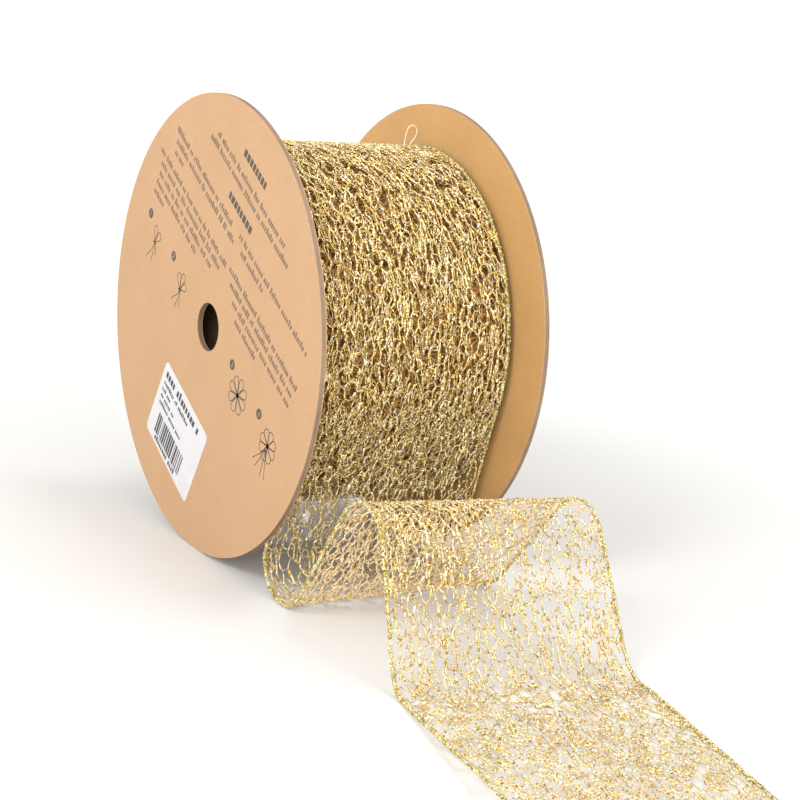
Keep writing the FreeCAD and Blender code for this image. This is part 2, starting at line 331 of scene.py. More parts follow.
def glitter_material(name, stops, flake_scale, metal, tilt):
    """Foil flakes: each has a colour picked from the stops and faces its own way; near-white stops are
    painted glints.
    """
    material, tree, shader = new_material(name)
    cells = cells_of(tree, flake_scale, "F1")
    parts = add_node(tree, "ShaderNodeSeparateColor")
    join(tree, cells.outputs["Color"], parts.inputs["Color"])
    colour = ramp(tree, parts.outputs["Red"], stops, "CONSTANT")
    patch = noise(tree, 160.0, 2.0)
    shade = ramp(tree, patch, [(0.35, (0.8, 0.74, 0.66)), (0.65, (1.0, 1.0, 1.0))])
    dress(tree, shader, {
        "Base Color": multiplied(tree, 1.0, colour, shade),
        "Roughness": to_range(tree, parts.outputs["Green"], 0.12, 0.38),
        "Metallic": metal,
        "Specular IOR Level": 0.3,
        "Normal": tilted_normal(tree, cells.outputs["Color"], tilt)})
    return material


def tilted_normal(tree, random_colour, tilt):
    """The surface normal with each flake tipped by up to about tilt."""
    centred = vector_math(tree, "SUBTRACT", random_colour)
    centred.inputs[1].default_value = (0.5, 0.5, 0.5)
    scaled = vector_math(tree, "SCALE", centred.outputs["Vector"])
    scaled.inputs["Scale"].default_value = 2 * tilt
    facing = add_node(tree, "ShaderNodeNewGeometry").outputs["Normal"]
    total = vector_math(tree, "ADD", facing, scaled.outputs["Vector"])
    return vector_math(tree, "NORMALIZE", total.outputs["Vector"]).outputs["Vector"]


def gold_glitter(name="gold_glitter", shade_tint=(1.0, 1.0, 1.0)):
    """Gold foil yarn; the second argument darkens every colour stop, as painted shade for turns that lie
    under others.
    """
    # The near-white last stop paints glints into the flakes' colour; the other stops are the foil's own
    # gold.
    stops = [(0.0, (0.32, 0.18, 0.03)), (0.13, (0.79, 0.50, 0.10)),
             (0.32, (0.97, 0.73, 0.21)), (0.57, (1.0, 0.89, 0.48)), (0.79, (1.0, 0.99, 0.92))]
    tinted = [(at, tuple(part * share for part, share in zip(colour, shade_tint))) for at, colour in stops]
    return glitter_material(name, tinted, flake_scale=3300.0, metal=0.45, tilt=0.5)


def cord_glitter():
    # The near-white last stop paints glints into the cord's foil colour.
    stops = [(0.0, (0.24, 0.16, 0.02)), (0.18, (0.50, 0.38, 0.06)),
             (0.42, (0.72, 0.60, 0.20)), (0.70, (0.90, 0.84, 0.46)), (0.86, (1.0, 0.98, 0.84))]
    return glitter_material("cord_glitter", stops, flake_scale=2800.0, metal=0.3, tilt=0.55)


def peach_thread():
    """Matt polyester on the side of the mesh away from the foil."""
    return mottled("peach_thread", (900.0, 3.0, 0.6), (0.80, 0.50, 0.22), (0.98, 0.76, 0.48), None,
                   (0.5, 0.0001), inputs={"Roughness": 0.6, "Sheen Weight": 0.25, "Sheen Roughness": 0.4})


def pack_material():
    """Deep turns seen through the holes: brown, crossed by paler threads; the near-black middle of each
    cell is painted shade of the depth of the roll.
    """
    material, tree, shader = new_material("deep_turns_painted_shade")
    edge = cells_of(tree, 420.0, "DISTANCE_TO_EDGE").outputs["Distance"]
    # The colour falls from brown at the cell edges to near black in their middles: painted shade.
    lace = ramp(tree, edge,
                [(0.03, (0.60, 0.34, 0.10)), (0.10, (0.24, 0.11, 0.025)), (0.4, (0.09, 0.038, 0.009))])
    grain = noise(tree, 1300.0, 2.0)
    shade = ramp(tree, grain, [(0.35, (0.7, 0.66, 0.6)), (0.65, (1.0, 1.0, 1.0))])
    dress(tree, shader, {
        "Base Color": multiplied(tree, 1.0, lace, shade),
        "Roughness": 0.6,
        "Normal": bump(tree, edge, 0.8, 0.0006)})
    return material


def kraft_material(name, light, dark):
    """Brown paper: soft blotches, short fibres and a faint tooth."""
    material, tree, shader = new_material(name)
    blotch = noise(tree, 45.0, 4.0, 0.55)
    base = ramp(tree, blotch, [(0.3, dark), (0.7, light)])
    fibre = noise(tree, 1500.0, 5.0, 0.7, stretched(tree, 1.0, 1.0, 0.6))
    speck = ramp(tree, fibre, [(0.36, (0.78, 0.72, 0.66)), (0.5, (1.0, 1.0, 1.0))])
    dress(tree, shader, {
        "Base Color": multiplied(tree, 0.35, base, speck),
        "Specular IOR Level": 0.3,
        "Roughness": to_range(tree, fibre, 0.62, 0.85),
        "Normal": bump(tree, fibre, 0.2, 0.00006)})
    return material


# ---------- ribbon route

def direction(first, second):
    return math.atan2(second[1] - first[1], second[0] - first[0])


def step_from(point, angle, distance):
    return (point[0] + distance * cos(angle), point[1] + distance * sin(angle))


def route_pieces():
    """(u, z, direction, length, curvature) of each run and arc, from the lap to the free end."""
    lap = (LAP_RADIUS * cos(LAP_START), LAP_RADIUS * sin(LAP_START),
           LAP_START - pi / 2, LAP_LENGTH, -1 / LAP_RADIUS)
    left = (LAP_RADIUS * cos(LEAVE), -LAP_RADIUS * sin(LEAVE))
    corners = [left,
               (left[0] - tan(LEAVE) * (left[1] - FLOOR_LINE), FLOOR_LINE),
               (TROUGH_FOOT, FLOOR_LINE),
               CREST,
               (FALL_FOOT, FLOOR_LINE),
               (TAIL_REACH, FLOOR_LINE)]
    pieces = [lap]
    here = corners[0]
    for index, bend in enumerate(BENDS, start=1):
        before = direction(corners[index - 1], corners[index])
        after = direction(corners[index], corners[index + 1])
        turn = math.remainder(after - before, TURN)
        setback = bend * tan(abs(turn) / 2)
        arc_start = step_from(corners[index], before, -setback)
        pieces.append((here[0], here[1], before, math.dist(here, arc_start), 0.0))
        pieces.append((*arc_start, before, bend * abs(turn), math.copysign(1 / bend, turn)))
        here = step_from(corners[index], after, setback)
    pieces.append((here[0], here[1], after, math.dist(here, corners[-1]), 0.0))
    return pieces


def on_route(pieces, distance):
    for u, z, angle, length, curvature in pieces:
        if distance <= length:
            break
        distance -= length
    if curvature == 0.0:
        u, z = step_from((u, z), angle, distance)
        return u, z, angle
    turned = angle + curvature * distance
    u += (sin(turned) - sin(angle)) / curvature
    z -= (cos(turned) - cos(angle)) / curvature
    return u, z, turned


def smooth(value, low, high):
    share = min(max((value - low) / (high - low), 0.0), 1.0)
    return share * share * (3 - 2 * share)


def lean_at(distance):
    """Sideways lean at the crest and towards the free end, and how far it lifts the middle."""
    share = (distance - CREST_LEAN_MIDDLE) / CREST_LEAN_SPREAD
    crest = CREST_LEAN * max(0.0, 1 - share * share) ** 2
    end = END_LEAN * smooth(distance, END_LEAN_FROM, END_LEAN_TO)
    return crest + end, RIBBON_WIDTH / 2 * sin(end)


def wound_station(distance):
    """A place on the last wound turns, at a distance before the lap (so below zero)."""
    turns = -distance / TURN_LENGTH
    angle = LAP_START + turns * TURN
    over_top = min((angle - LAP_START) % TURN * SPRING_PACE, pi)
    radius = LAP_RADIUS - TURN_PITCH * turns + TOP_SPRING * sin(over_top)
    outward = np.array((cos(angle), 0, sin(angle)))
    middle = outward * radius
    middle[1] = TAIL_OFFSET * smooth(distance, -OFFSET_RUN, 0.0)
    return middle, np.array((sin(angle), 0, -cos(angle))), np.array((0, 1.0, 0)), outward


def paid_out_stations(pieces):
    total = sum(piece[3] for piece in pieces)
    u_before = x = on_route(pieces, 0.0)[0]
    y = TAIL_OFFSET
    for index in range(int(total / ROUTE_STEP) + 1):
        distance = index * ROUTE_STEP
        u, z, angle = on_route(pieces, distance)
        share = (distance - HEADING_FROM) / (HEADING_TO - HEADING_FROM)
        turn = HEADING * min(max(share, 0.0), 1.0) ** 3
        x += (u - u_before) * cos(turn)
        y -= (u - u_before) * sin(turn)
        u_before = u
        lean, lift = lean_at(distance)
        flat = cos(angle)
        along = np.array((flat * cos(turn), -flat * sin(turn), sin(angle)))
        level = np.array((sin(turn), cos(turn), 0))
        up = np.cross(along, level)
        across = level * cos(lean) - up * sin(lean)
        yield distance, (np.array((x, y, z + lift)), along, across, np.cross(along, across))


def make_route():
    """Tables of distance, middle, along, across and outward for the whole length in view."""
    start = LAP_LENGTH - LOOSE_TURNS * TURN_LENGTH
    distances, stations = [], []
    for index in range(int(-start / ROUTE_STEP)):
        distances.append(start + index * ROUTE_STEP)
        stations.append(wound_station(distances[-1]))
    for distance, station in paid_out_stations(route_pieces()):
        distances.append(distance)
        stations.append(station)
    table = np.array(stations).reshape(len(stations), 12)
    return np.array(distances), table


ROUTE_AT, ROUTE = make_route()
ROUTE_START, ROUTE_END = ROUTE_AT[0], ROUTE_AT[-1]


def frames_at(distance):
    """Middle, along, across and outward vectors at an array of distances."""
    flat = distance.reshape(-1)
    columns = [np.interp(flat, ROUTE_AT, ROUTE[:, index]) for index in range(12)]
    rows = np.stack(columns, axis=1).reshape(*distance.shape, 4, 3)
    return [rows[..., index, :] for index in range(4)]


# ---------- threads

class Threads:
    """Collects closed three-sided tubes and small hairs, then makes them one mesh.

    A tube's ridge and its two upper sides take the first material, and its
    underside takes the second.
    """

    CORNERS = (pi / 2, pi * 7 / 6, pi * 11 / 6)
    SIDE_SLOTS = (0, 1, 0)

    def __init__(self):
        self.points = []
        self.faces = []
        self.slots = []
        self.count = 0

    def add(self, points, faces, slots):
        self.points.append(points.reshape(-1, 3))
        self.faces.append(faces + self.count)
        self.slots.append(slots)
        self.count += self.points[-1].shape[0]

    def add_tubes(self, s, v, h, width, height, roll):
        """Tubes whose centre lines are rows of (s, v, h); all arrays are rows by rings."""
        middle, _, across, outward = frames_at(s)
        centre = middle + across * v[..., None] + outward * h[..., None]
        run = np.gradient(centre, axis=1)
        side = np.cross(outward, run)
        side /= np.linalg.norm(side, axis=2, keepdims=True) + 1e-9
        up = np.cross(run, side)
        up /= np.linalg.norm(up, axis=2, keepdims=True) + 1e-9
        corners = []
        for angle in self.CORNERS:
            corners.append(centre + side * (np.cos(angle + roll) * width)[..., None]
                           + up * (np.sin(angle + roll) * height)[..., None])
        points = np.stack(corners, axis=2)
        rows, rings = s.shape
        first = (np.arange(rows)[:, None] * rings + np.arange(rings - 1)[None, :]) * 3
        walls, slots = [], []
        for index, slot in enumerate(self.SIDE_SLOTS):
            after = (index + 1) % 3
            wall = np.stack([first + index, first + after, first + 3 + after, first + 3 + index], axis=-1)
            walls.append(wall.reshape(-1, 4))
            slots.append(np.full(wall.size // 4, slot))
        start = np.arange(rows)[:, None] * rings * 3
        walls.append(start + np.array([[2, 1, 0, 0]]))
        walls.append(start + (rings - 1) * 3 + np.array([[0, 1, 2, 2]]))
        slots.append(np.zeros(2 * rows, int))
        self.add(points, np.concatenate(walls), np.concatenate(slots))
        return centre, side, up

    def add_hairs(self, root, tip, thick):
        """Thin closed spikes, each a four-cornered needle from root to tip."""
        run = tip - root
        helper = np.where(np.abs(run[:, 2:]) < 0.5 * np.linalg.norm(run, axis=1, keepdims=True),
                          np.array([[0, 0, 1.0]]), np.array([[1.0, 0, 0]]))
        side = np.cross(run, helper)
        side *= thick / (np.linalg.norm(side, axis=1, keepdims=True) + 1e-9)
        up = np.cross(run, side)
        up *= thick / (np.linalg.norm(up, axis=1, keepdims=True) + 1e-9)
        points = np.stack([root + side, root + up, root - side - up, tip], axis=1)
        first = np.arange(len(root))[:, None] * 4
        faces = []
        for corners in ((0, 1, 3, 3), (1, 2, 3, 3), (2, 0, 3, 3), (2, 1, 0, 0)):
            faces.append(first + np.array([corners]))
        self.add(points, np.concatenate(faces), np.zeros(4 * len(root), int))

    def make(self, name, materials):
        points = np.concatenate(self.points) * MM
        faces = np.concatenate(self.faces)
        slots = np.concatenate(self.slots)
        sizes = np.where(faces[:, 2] == faces[:, 3], 3, 4)
        keep = np.ones(faces.shape, bool)
        keep[:, 3] = sizes == 4
        loops = faces[keep]
        mesh = bpy.data.meshes.new(name)
        mesh.vertices.add(len(points))
        mesh.vertices.foreach_set("co", points.astype(np.float32).ravel())
        mesh.loops.add(len(loops))
        mesh.loops.foreach_set("vertex_index", loops.astype(np.int32))
        mesh.polygons.add(len(faces))
        starts = np.concatenate([[0], np.cumsum(sizes)[:-1]])
        mesh.polygons.foreach_set("loop_start", starts.astype(np.int32))
        mesh.polygons.foreach_set("material_index", slots.astype(np.int32))
        mesh.update(calc_edges=True)
        mesh.validate()
        for material in materials:
            mesh.materials.append(material)
        return link_piece(name, mesh)


# ---------- lace

CELL = (6.0, 2.2)  # length along the ribbon and width of the open cells
FINE_CELL = (3.5, 1.45)  # the same where the net is clumped and fine
SQUASH = 1.2  # evens out the long cells before they are joined up
STRAY = (0.45, 0.42)  # how far a cell's centre strays, as shares of the cell
DROPPED_CELLS, ADDED_CELLS = 0.14, 0.12
JUNCTION_SPREAD = (0.06, 0.08)
DROPPED_THREADS = 0.05
CROSSING_SHARE = 0.45
CLUMPED_ABOVE = -0.3  # the fine net is kept where clumping passes this
SEGMENT = 0.95
SHORTEST = 0.4
NEST_SLIP = 0.2  # how loosely the holes of stacked turns line up
MAIN, CROSSING, FINE = range(3)

# half-widths and unevenness of threads, and the ends of foil on them
MAIN_WIDTH, MAIN_EXTRA = 0.20, 0.10  # the extra goes to threads along the ribbon
CROSSING_WIDTH, FINE_WIDTH = 0.17, 0.16
FLATNESS = 0.72
BOW, WANDER, LIFT, LIFT_WANDER = 0.09, 0.09, 0.11, 0.05
WIDTH_SPREAD, LUMP_SPREAD = 0.2, 0.42
LUMP_LIMITS = (0.4, 2.1)
FUZZ_SHARE, FUZZ_LENGTH, FUZZ_THICK = 0.4, 0.75, 0.1


def lace_points(rng, first, last, cell):
    """Cell centres: a jittered lattice with some cells dropped and some added."""
    length, width = cell
    columns = int((last - first) / length) + 3
    rows = int(2 * CORD_AT / width) + 5
    column, row = np.meshgrid(np.arange(columns), np.arange(rows), indexing="ij")
    s = first + (column - 1 + 0.5 * (row % 2)) * length
    v = (row - (rows - 1) / 2) * width
    s = s + rng.uniform(-STRAY[0], STRAY[0], s.shape) * length
    v = v + rng.uniform(-STRAY[1], STRAY[1], v.shape) * width
    kept = rng.random(s.shape) > DROPPED_CELLS
    points = np.stack([s[kept], v[kept]], axis=1)
    extra = int(ADDED_CELLS * len(points))
    added = np.stack([rng.uniform(first, last, extra), rng.uniform(-CORD_AT, CORD_AT, extra)], axis=1)
    return np.concatenate([points, added])


def net_of(rng, first, last, cell):
    """The junctions between cells, and the pairs of junctions that a thread joins."""
    squash = cell[1] / cell[0] * SQUASH
    flat = [Vector((s * squash, v)) for s, v in lace_points(rng, first, last, cell)]
    points, _, triangles, *_ = geometry.delaunay_2d_cdt(flat, [], [], 0, 1e-6)
    points = np.array([tuple(point) for point in points])
    corners = np.array(triangles)
    junctions = points[corners].mean(axis=1)
    junctions[:, 0] /= squash
    spread = np.array([[JUNCTION_SPREAD[0] * cell[0], JUNCTION_SPREAD[1] * cell[1]]])
    junctions += rng.normal(0, 1, junctions.shape) * spread
    sides = np.sort(np.concatenate([corners[:, [0, 1]], corners[:, [1, 2]], corners[:, [2, 0]]]), axis=1)
    owner = np.tile(np.arange(len(corners)), 3)
    order = np.lexsort((sides[:, 1], sides[:, 0]))
    sides, owner = sides[order], owner[order]
    shared = np.all(sides[1:] == sides[:-1], axis=1)
    pairs = np.stack([owner[:-1][shared], owner[1:][shared]], axis=1)
    return junctions, pairs[rng.random(len(pairs)) > DROPPED_THREADS]


def clumping(rng, s, v):
    """A slowly changing value over the ribbon, high where the net is clumped."""
    total = 0.0
    for _ in range(7):
        phase = s * rng.uniform(0.2, 0.65) + v * rng.uniform(-1.1, 1.1) + rng.uniform(0, TURN)
        total = total + np.sin(phase)
    return total


def lace_edges(rng, first, last):
    """All the threads: (s, v) of both ends, and each one's kind."""
    junctions, pairs = net_of(rng, first, last, CELL)
    crossings = second_neighbours(rng, pairs, len(junctions))
    fine_junctions, fine_pairs = net_of(rng, first, last, FINE_CELL)
    middle = fine_junctions[fine_pairs].mean(axis=1)
    fine_pairs = fine_pairs[clumping(rng, middle[:, 0], middle[:, 1]) > CLUMPED_ABOVE]
    starts, ends, kinds = [], [], []
    for points, joined, kind in ((junctions, pairs, MAIN), (junctions, crossings, CROSSING),
                                 (fine_junctions, fine_pairs, FINE)):
        starts.append(points[joined[:, 0]])
        ends.append(points[joined[:, 1]])
        kinds.append(np.full(len(joined), kind))
    return clipped(np.concatenate(starts), np.concatenate(ends), np.concatenate(kinds))


def second_neighbours(rng, pairs, count):
    """Finer threads that cross a cell, from a junction to one two steps away."""
    near = [[] for _ in range(count)]
    for a, b in pairs:
        near[a].append(b)
        near[b].append(a)
    made = []
    for junction in range(count):
        if rng.random() > CROSSING_SHARE or not near[junction]:
            continue
        middle = near[junction][rng.integers(len(near[junction]))]
        far = near[middle][rng.integers(len(near[middle]))]
        if far != junction:
            made.append((junction, far))
    return np.array(made)


def clipped(start, end, kinds):
    """Threads cut off where they pass the ribbon's edge cords."""
    inside_start = np.abs(start[:, 1]) <= NET_HALF
    inside_end = np.abs(end[:, 1]) <= NET_HALF
    keep = inside_start | inside_end
    start, end, kinds = start[keep], end[keep], kinds[keep]
    for near, far in ((start, end), (end, start)):
        outside = np.abs(near[:, 1]) > NET_HALF
        limit = np.sign(near[outside, 1]) * NET_HALF
        share = (limit - far[outside, 1]) / (near[outside, 1] - far[outside, 1])
        near[outside] = far[outside] + (near[outside] - far[outside]) * share[:, None]
    return start, end, kinds


def add_lace(threads, rng, start, end, kinds):
    """Adds the threads in groups that have the same number of segments."""
    lengths = np.linalg.norm(end - start, axis=1)
    steps = np.maximum(2, np.round(lengths / SEGMENT).astype(int))
    for count in np.unique(steps):
        chosen = (steps == count) & (lengths > SHORTEST)
        if chosen.any():
            lace_group(threads, rng, start[chosen], end[chosen], kinds[chosen], int(count))


def lace_group(threads, rng, start, end, kinds, count):
    """Bends each thread a little, gives it lumps, and hangs a few hairs on it."""
    rows = len(start)
    share = np.linspace(0, 1, count + 1)[None, :]
    arch = np.sin(pi * share)
    run = end - start
    length = np.linalg.norm(run, axis=1)
    across = np.stack([-run[:, 1], run[:, 0]], axis=1) / length[:, None]
    bow = (rng.normal(0, BOW, rows) * length)[:, None] * arch
    wander = rng.normal(0, WANDER, (2, rows, count + 1)) * (arch > 0.01)
    s = start[:, :1] + run[:, :1] * share + across[:, :1] * bow + wander[0]
    v = start[:, 1:] + run[:, 1:] * share + across[:, 1:] * bow + wander[1]
    lift = rng.normal(0.0, LIFT, rows)[:, None] * arch
    lift = lift + rng.normal(0, LIFT_WANDER, (rows, count + 1))
    lengthwise = np.abs(run[:, 0]) / length
    thick = np.choose(kinds, (MAIN_WIDTH + MAIN_EXTRA * lengthwise, CROSSING_WIDTH, FINE_WIDTH))
    thick = thick * np.exp(rng.normal(0, WIDTH_SPREAD, rows))
    lumps = np.clip(np.exp(rng.normal(0, LUMP_SPREAD, (rows, count + 1))), *LUMP_LIMITS)
    width = thick[:, None] * lumps
    roll = rng.uniform(-0.5, 0.5, (rows, count + 1))
    s = np.clip(s, ROUTE_START, ROUTE_END)
    tubes = threads.add_tubes(s, v, lift, width, width * FLATNESS, roll)
    add_fuzz(threads, rng, tubes, FUZZ_SHARE, FUZZ_LENGTH)


def add_fuzz(threads, rng, tubes, share, length):
    """Short ends of foil that stand out of the threads."""
    rings = [part[:, :-1].reshape(-1, 3) for part in tubes]
    chosen = rng.random(len(rings[0])) < share
    root, sideways, upward = (part[chosen] for part in rings)
    angle = rng.uniform(0, pi, len(root))
    reach = rng.uniform(0.45, 1.0, len(root)) * length
    along = np.cross(sideways, upward) * rng.uniform(-0.7, 0.7, (len(root), 1))
    way = sideways * np.cos(angle)[:, None] + upward * 0.8 * np.sin(angle)[:, None] + along
    threads.add_hairs(root, root + way * reach[:, None], FUZZ_THICK)


def ribbon_lace(name, first, last, start, end, kinds, materials, seed):
    """The lace between two distances along the ribbon, as one piece."""
    rng = np.random.default_rng(seed)
    middle = (start[:, 0] + end[:, 0]) / 2
    inside = (middle >= first) & (middle < last)
    threads = Threads()
    add_lace(threads, rng, start[inside], end[inside], kinds[inside])
    return threads.make(name, materials)


def nested_shift(rng, start, end, back):
    """Moves the net back whole turns, so that most holes of a deeper turn lie under the outer ones."""
    both = np.concatenate([start, end])
    slip = np.stack([clumping(rng, both[:, 0], both[:, 1]) for _ in range(2)], axis=1) * NEST_SLIP
    slip[:, 0] -= back
    return slip[:len(start)], slip[len(start):]


# ---------- edge cords

STRANDS = 3
STRAND_PITCH = 2.1
CORD_STEP = 0.55
STRAND_REACH, STRAND_WIDTH = 0.34, 0.31
REACH_SPREAD, STRAND_SPREAD, STRAND_DRIFT = 0.2, 0.25, 0.12
STRAND_FLATNESS = 0.85
CORD_FUZZ_SHARE, CORD_FUZZ_LENGTH = 0.9, 0.95


def edge_cord(name, side, first, last, materials, seed):
    """Foil strands laid round the edge wire, with loose ends standing out."""
    rng = np.random.default_rng(seed)
    threads = Threads()
    rings = int((last - first) / CORD_STEP) + 1
    s = np.linspace(first, last, rings)[None, :]
    drift = np.cumsum(rng.normal(0, STRAND_DRIFT, rings))[None, :]
    for strand in range(STRANDS):
        phase = s * TURN / STRAND_PITCH + strand * TURN / STRANDS + drift
        reach = STRAND_REACH * np.exp(rng.normal(0, REACH_SPREAD, (1, rings)))
        width = STRAND_WIDTH * np.exp(rng.normal(0, STRAND_SPREAD, (1, rings)))
        v = side * CORD_AT + reach * np.cos(phase)
        h = reach * np.sin(phase)
        roll = rng.uniform(-0.5, 0.5, (1, rings))
        tubes = threads.add_tubes(s, v, h, width, width * STRAND_FLATNESS, roll)
        add_fuzz(threads, rng, tubes, CORD_FUZZ_SHARE, CORD_FUZZ_LENGTH)
    return threads.make(name, materials)


# ---------- printing

INK_DEPTH = 0.03  # how far ink stands out of the paper
INK_ROOT = 0.01  # and how far it reaches in
PEN = 0.3  # line width of the drawings
PRINT_TILT = radians(29.5)
LABEL_MIDDLE = (-18.6, -40.0)
LABEL_TILT = radians(27.5)
LABEL_FACE_Y = FACE_Y + 0.15
LETTER_PITCH = 1.38


class Ink:
    """Thin strokes laid on a face that looks towards -Y, in a tilted frame of its own."""

    def __init__(self, middle, tilt, face_y):
        self.middle = middle
        self.right = (cos(tilt), -sin(tilt))
        self.up = (sin(tilt), cos(tilt))
        self.face_y = face_y
        self.points = []
        self.faces = []

    def stroke(self, path, width):
        """A slab of even width along a path of (across, up) points."""
        path = np.array(path, float)
        run = np.gradient(path, axis=0)
        run /= np.linalg.norm(run, axis=1, keepdims=True)
        side = np.stack([-run[:, 1], run[:, 0]], axis=1) * width / 2
        base = len(self.points)
        for (x, z), (dx, dz) in zip(path, side):
            for sign, depth in ((1, INK_ROOT), (-1, INK_ROOT), (-1, -INK_DEPTH), (1, -INK_DEPTH)):
                self.points.append(self.on_face(x + sign * dx, z + sign * dz, depth))
        for index in range(len(path) - 1):
            near = base + 4 * index
            for corner in range(4):
                after = (corner + 1) % 4
                self.faces.append((near + corner, near + after, near + 4 + after, near + 4 + corner))
        last = base + 4 * (len(path) - 1)
        self.faces.append((base + 3, base + 2, base + 1, base))
        self.faces.append((last, last + 1, last + 2, last + 3))

    def on_face(self, across, rise, depth):
        x = self.middle[0] + across * self.right[0] + rise * self.up[0]
        z = self.middle[1] + across * self.right[1] + rise * self.up[1]
        return Vector((x, -self.face_y + depth, z)) * MM

    def block(self, left, bottom, width, height):
        middle = left + width / 2
        self.stroke([(middle, bottom), (middle, bottom + height)], width)

    def disc(self, across, rise, radius):
        """A filled dot with a square-cut edge."""
        steps = 20
        base = len(self.points)
        for depth in (INK_ROOT, -INK_DEPTH):
            for step in range(steps):
                angle = step * TURN / steps
                self.points.append(self.on_face(across + radius * cos(angle),
                                                rise + radius * sin(angle), depth))
        self.faces.append(tuple(range(base, base + steps)))
        self.faces.append(tuple(range(base + 2 * steps - 1, base + steps - 1, -1)))
        for step in range(steps):
            after = (step + 1) % steps
            self.faces.append((base + step, base + steps + step, base + steps + after, base + after))

    def make(self, name, material, slot):
        piece = solid_piece(name, self.points, self.faces, material, smooth=False)
        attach(piece, "spool")


def greek_line(ink, rng, left, right, base, x_height=1.5, pitch=LETTER_PITCH):
    """A line of blank word shapes: blocks the size of letters, none of them a letter."""
    at = left
    while at < right - pitch:
        letters = min(int(rng.integers(2, 9)), int((right - at) / pitch))
        for _ in range(max(letters, 1)):
            tall = rng.random() < 0.25
            ink.block(at, base, pitch * rng.uniform(0.6, 0.8), x_height * (1.4 if tall else 1.0))
            at += pitch
        at += pitch * 0.8


def loop(middle, tilt, length, width, steps=18):
    """One ribbon loop drawn as a teardrop that starts and ends at middle."""
    path = []
    for step in range(steps + 1):
        share = step / steps
        reach = length * sin(pi * share)
        swing = width / 2 * sin(TURN * share) * sin(pi * share) ** 0.5
        path.append((middle[0] + reach * sin(tilt) + swing * cos(tilt),
                     middle[1] + reach * cos(tilt) - swing * sin(tilt)))
    return path


def draw_gather(ink, middle, loops, tails):
    """A held gather of ribbon: loops above, wavy tails below and a tie between."""
    for tilt, length in loops:
        ink.stroke(loop(middle, tilt, length, 3.2), PEN)
    for tilt, length in tails:
        path = [(middle[0] + length * share * sin(tilt) + 0.5 * sin(5 * share),
                 middle[1] - length * share * cos(tilt)) for share in np.linspace(0, 1, 9)]
        ink.stroke(path, PEN)
    ink.stroke([(middle[0] - 1.2, middle[1] - 0.3), (middle[0] + 1.2, middle[1] + 0.3)], 0.5)


def draw_rosette(ink, middle, petals, reach, tails):
    for petal in range(petals):
        ink.stroke(loop(middle, petal * TURN / petals, reach, 3.6), PEN)
    ink.disc(middle[0], middle[1], 0.8)
    for tilt in tails:
        for edge in (-0.13, 0.13):
            start = (middle[0], middle[1] - 1.5)
            end = (middle[0] + 11 * sin(tilt + edge), middle[1] - 11 * cos(tilt + edge))
            ink.stroke([start, end], PEN)


def badge(ink, paper, across, rise, number):
    """A numbered dot; the numeral is drawn from short paper-coloured strokes."""
    ink.disc(across, rise, 1.75)
    numerals = {1: [[(0, -0.9), (0, 0.9)], [(0, 0.9), (-0.4, 0.5)]],
                2: [[(-0.5, 0.6), (0, 0.9), (0.5, 0.5), (-0.5, -0.8), (0.6, -0.8)]],
                3: [[(-0.5, 0.8), (0.5, 0.8), (0, 0.1), (0.5, -0.4), (0, -0.9), (-0.5, -0.7)]],
                4: [[(0.3, -0.9), (0.3, 0.9), (-0.6, -0.3), (0.7, -0.3)]]}
    for path in numerals[number]:
        paper.stroke([(across + x, rise + z) for x, z in path], 0.32)


def build_printing():
    """Blank text lines, numbered dots and bow drawings on the front flange."""
    rng = np.random.default_rng(5)
    ink = Ink((0, 0), PRINT_TILT, FACE_Y)
    headings = Ink((0, 0), PRINT_TILT, FACE_Y)
    paper = Ink((0, 0), PRINT_TILT, FACE_Y + INK_DEPTH)
    for left, right, base in ((-14.0, 5.0, 58.6), (-14.2, 6.8, 42.0)):
        greek_heading(headings, rng, left, right, base)
    pitch = 3.6
    blocks = [(52.6, [(-32.4, 25.4), (-35.9, 30.4)]),
              (35.8, [(-57.7, -4.4), (-55.9, -1.3), (-54.9, -46.4)]),
              (22.8, [(-64.0, -0.9), (-61.4, -4.1), (-60.5, -8.2), (-60.6, -20.7), (-60.6, -48.8)]),
              (36.6, [(-0.6, 55.2), (3.3, 22.2)]),
              (24.2, [(0.4, 59.0), (3.8, 56.0), (8.4, 57.0), (13.4, 31.8)])]
    for top, lines in blocks:
        for index, (left, right) in enumerate(lines):
            greek_line(ink, rng, left, right, top - pitch * index)
    badges = [(-57.8, 1.0), (-34.5, 1.2), (20.6, 2.4), (43.7, 2.9)]
    for number, (across, rise) in enumerate(badges, start=1):
        badge(headings, paper, across, rise, number)
    draw_gather(headings, (-49.4, -5.0), loops=[(-0.35, 6.0), (0.45, 5.6)],
                tails=[(-0.25, 8.0), (0.25, 7.2), (0.9, 5.0)])
    draw_gather(headings, (-24.0, -4.6), loops=[(-0.7, 5.6), (0.0, 6.4), (0.7, 5.2)],
                tails=[(-0.4, 7.0), (0.1, 7.6), (0.6, 6.0)])
    draw_rosette(headings, (29.4, -2.8), 8, 6.2, [])
    draw_rosette(headings, (54.0, -1.0), 8, 5.4, [-0.35, 0.3])
    text_ink = ink_material("text_ink", (0.13, 0.085, 0.06), (0.21, 0.14, 0.10))
    dark_ink = ink_material("heading_ink", (0.055, 0.045, 0.04), (0.10, 0.08, 0.065))
    ink.make("printed_lines", text_ink, "kraft_printed")
    headings.make("printed_drawings", dark_ink, "kraft_printed")
    paper.make("printed_numerals", kraft_material("unprinted_paper", *KRAFT_PRINTED), "kraft_printed")


def greek_heading(ink, rng, left, right, base):
    at = left
    while at < right - 1.6:
        width = rng.uniform(1.5, 2.1)
        ink.block(at, base, width, 2.5)
        at += width + 0.55


